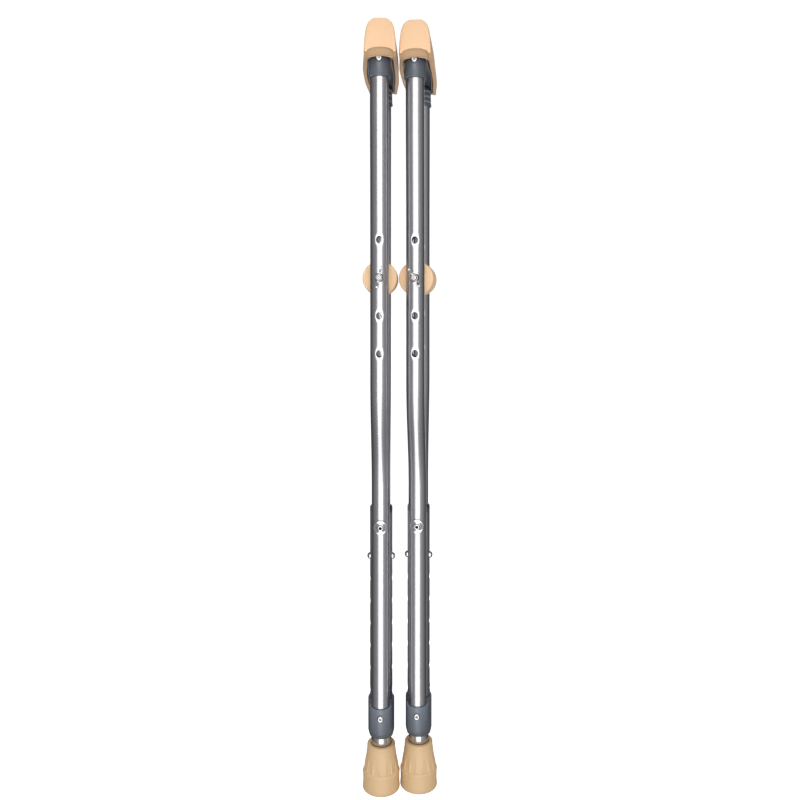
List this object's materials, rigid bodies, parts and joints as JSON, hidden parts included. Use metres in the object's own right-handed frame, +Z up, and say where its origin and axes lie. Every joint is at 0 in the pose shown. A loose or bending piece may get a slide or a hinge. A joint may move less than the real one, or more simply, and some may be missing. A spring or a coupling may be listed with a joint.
{
  "type": "pair of underarm crutches",
  "caption": "Pair of tubular underarm crutches with padded tops, bolted handgrips, sliding push-button legs and flared rubber tips.",
  "frame": {"origin": "centre of the pair's bounding box on the floor", "axes": "+Z up along the legs, +X from the left crutch to the right one, -Y the side with the wing nuts"},
  "size_m": [0.0938, 0.209, 0.943],
  "materials": {
    "tube_aluminium": "satin anodised",
    "leg_aluminium": "bright satin",
    "pad_foam": "soft matte skin",
    "grip_foam": "fine foam",
    "tip_rubber": "matte moulded",
    "grey_plastic": "fine texture",
    "cap_plastic": "matte",
    "core_plastic": "matte",
    "plated_steel": "bright zinc plate",
    "spring_steel": "satin"
  },
  "bodies": {
    "left_frame": {"left_underarm_pad": "pad_foam", "left_underarm_support": "grey_plastic", "left_front_support_rivet": "plated_steel", "left_rear_support_rivet": "plated_steel", "left_front_bow_tube": "tube_aluminium", "left_rear_bow_tube": "tube_aluminium", "left_handgrip_bolt": "plated_steel", "left_front_grip_washer": "plated_steel", "left_rear_grip_washer": "plated_steel", "left_column_tube": "tube_aluminium", "left_column_top_cap": "cap_plastic", "left_column_rivet": "plated_steel", "left_front_column_washer": "plated_steel", "left_rear_column_washer": "plated_steel", "left_bottom_bracket": "grey_plastic", "left_front_bracket_rivet": "plated_steel", "left_rear_bracket_rivet": "plated_steel"},
    "left_leg": {"left_leg_tube": "leg_aluminium", "left_button_spring_clip": "spring_steel", "left_rubber_tip": "tip_rubber", "left_tip_washer": "spring_steel"},
    "left_inner_button": {"left_inner_snap_button": "plated_steel"},
    "left_outer_button": {"left_outer_snap_button": "plated_steel"},
    "left_grip": {"left_handgrip": "grip_foam", "left_handgrip_core": "core_plastic"},
    "left_wing": {"left_wing_nut": "plated_steel"},
    "right_frame": {"right_underarm_pad": "pad_foam", "right_underarm_support": "grey_plastic", "right_front_support_rivet": "plated_steel", "right_rear_support_rivet": "plated_steel", "right_front_bow_tube": "tube_aluminium", "right_rear_bow_tube": "tube_aluminium", "right_handgrip_bolt": "plated_steel", "right_front_grip_washer": "plated_steel", "right_rear_grip_washer": "plated_steel", "right_column_tube": "tube_aluminium", "right_column_top_cap": "cap_plastic", "right_column_rivet": "plated_steel", "right_front_column_washer": "plated_steel", "right_rear_column_washer": "plated_steel", "right_bottom_bracket": "grey_plastic", "right_front_bracket_rivet": "plated_steel", "right_rear_bracket_rivet": "plated_steel"},
    "right_leg": {"right_leg_tube": "leg_aluminium", "right_button_spring_clip": "spring_steel", "right_rubber_tip": "tip_rubber", "right_tip_washer": "spring_steel"},
    "right_inner_button": {"right_inner_snap_button": "plated_steel"},
    "right_outer_button": {"right_outer_snap_button": "plated_steel"},
    "right_grip": {"right_handgrip": "grip_foam", "right_handgrip_core": "core_plastic"},
    "right_wing": {"right_wing_nut": "plated_steel"}
  },
  "joints": [
    {"name": "left_leg_slide", "type": "slide", "parent": "left_frame", "child": "left_leg", "axis": [0, 0, 1], "range_m": [-0.1695, 0]},
    {"name": "left_inner_button_press", "type": "slide", "parent": "left_leg", "child": "left_inner_button", "axis": [-0.9994, -0.0358, 0], "range_m": [0, 0.0049], "stiffness_N_per_m": 1200, "deforming": ["left_button_spring_clip"]},
    {"name": "left_outer_button_press", "type": "slide", "parent": "left_leg", "child": "left_outer_button", "axis": [0.9994, 0.0358, 0], "range_m": [0, 0.0049], "stiffness_N_per_m": 1200, "deforming": ["left_button_spring_clip"]},
    {"name": "left_grip_spin", "type": "hinge", "parent": "left_frame", "child": "left_grip", "pos_m": [-0.0236, -0.004, 0.6444], "axis": [-0.0358, 0.9994, 0], "continuous": true},
    {"name": "left_wing_nut_spin", "type": "hinge", "parent": "left_frame", "child": "left_wing", "pos_m": [-0.02066, -0.0861, 0.6444], "axis": [-0.0358, 0.9994, 0], "continuous": true},
    {"name": "right_leg_slide", "type": "slide", "parent": "right_frame", "child": "right_leg", "axis": [0, 0, 1], "range_m": [-0.1695, 0]},
    {"name": "right_inner_button_press", "type": "slide", "parent": "right_leg", "child": "right_inner_button", "axis": [0.9994, -0.0358, 0], "range_m": [0, 0.0049], "stiffness_N_per_m": 1200, "deforming": ["right_button_spring_clip"]},
    {"name": "right_outer_button_press", "type": "slide", "parent": "right_leg", "child": "right_outer_button", "axis": [-0.9994, 0.0358, 0], "range_m": [0, 0.0049], "stiffness_N_per_m": 1200, "deforming": ["right_button_spring_clip"]},
    {"name": "right_grip_spin", "type": "hinge", "parent": "right_frame", "child": "right_grip", "pos_m": [0.0236, 0.004, 0.6444], "axis": [0.0358, 0.9994, 0], "continuous": true},
    {"name": "right_wing_nut_spin", "type": "hinge", "parent": "right_frame", "child": "right_wing", "pos_m": [0.02066, -0.0781, 0.6444], "axis": [0.0358, 0.9994, 0], "continuous": true},
    {"name": "right_crutch_apart", "type": "slide", "parent": "left_frame", "child": "right_frame", "axis": [1, 0, 0], "range_m": [0, 0.3]}
  ]
}
